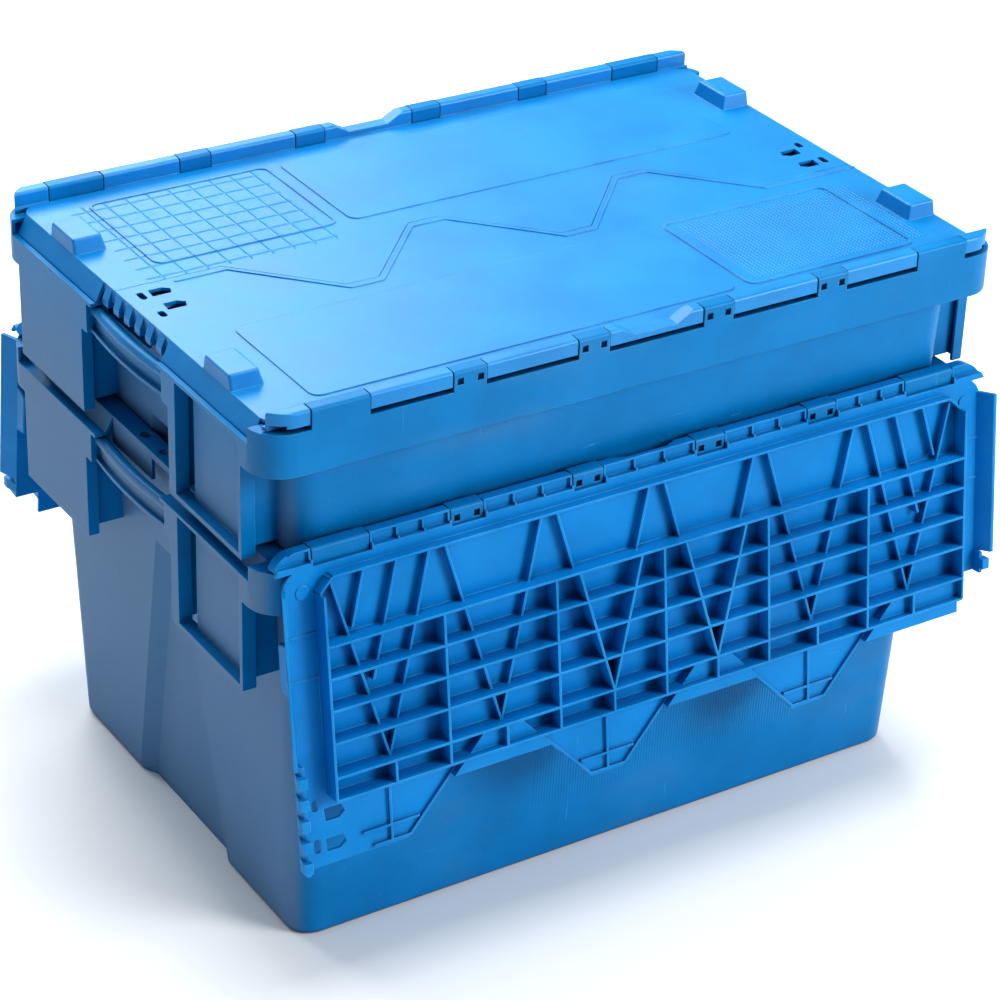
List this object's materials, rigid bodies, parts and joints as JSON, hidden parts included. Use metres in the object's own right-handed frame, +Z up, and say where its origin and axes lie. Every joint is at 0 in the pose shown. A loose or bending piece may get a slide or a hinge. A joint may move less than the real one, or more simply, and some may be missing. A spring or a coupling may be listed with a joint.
{
  "type": "attached-lid storage crate pair",
  "caption": "Plastic storage crates with hinged two-part interlocking lids, one closed crate nested in another whose lid halves hang open at its long sides.",
  "frame": {"origin": "centre of the lower crate's base, on the floor", "axes": "+X along the crates' length, -Y towards the front long side, +Z up"},
  "size_m": [0.6, 0.4848, 0.436],
  "materials": {
    "crate_plastic": "fine-grained moulded polypropylene",
    "lid_plastic": "fine-grained moulded polypropylene",
    "wire_steel": "drawn wire"
  },
  "bodies": {
    "lower_crate": {"lower_crate_body": "crate_plastic", "lower_front_left_wire": "wire_steel", "lower_front_right_wire": "wire_steel", "lower_rear_left_wire": "wire_steel", "lower_rear_right_wire": "wire_steel"},
    "lower_front_lid": {"lower_front_lid": "lid_plastic"},
    "lower_rear_lid": {"lower_rear_lid": "lid_plastic"},
    "upper_crate": {"upper_crate_body": "crate_plastic", "upper_front_left_wire": "wire_steel", "upper_front_right_wire": "wire_steel", "upper_rear_left_wire": "wire_steel", "upper_rear_right_wire": "wire_steel"},
    "upper_front_lid": {"upper_front_lid": "lid_plastic"},
    "upper_rear_lid": {"upper_rear_lid": "lid_plastic"}
  },
  "joints": [
    {"name": "upper_crate_lift", "type": "slide", "parent": "lower_crate", "child": "upper_crate", "axis": [0, 0, 1], "range_m": [0, 0.22]},
    {"name": "upper_front_lid_hinge", "type": "hinge", "parent": "upper_crate", "child": "upper_front_lid", "pos_m": [0, -0.1942, 0.4305], "axis": [1, 0, 0], "range_deg": [0, 180]},
    {"name": "upper_rear_lid_hinge", "type": "hinge", "parent": "upper_crate", "child": "upper_rear_lid", "pos_m": [0, 0.1942, 0.4305], "axis": [-1, 0, 0], "range_deg": [0, 180]},
    {"name": "lower_front_lid_hinge", "type": "hinge", "parent": "lower_crate", "child": "lower_front_lid", "pos_m": [0, -0.1942, 0.3285], "axis": [-1, 0, 0], "range_deg": [0, 95]},
    {"name": "lower_rear_lid_hinge", "type": "hinge", "parent": "lower_crate", "child": "lower_rear_lid", "pos_m": [0, 0.1942, 0.3285], "axis": [1, 0, 0], "range_deg": [0, 95]}
  ],
  "couplings": [
    {"joint": "upper_rear_lid_hinge", "follows": "upper_front_lid_hinge", "ratio": 1}
  ]
}
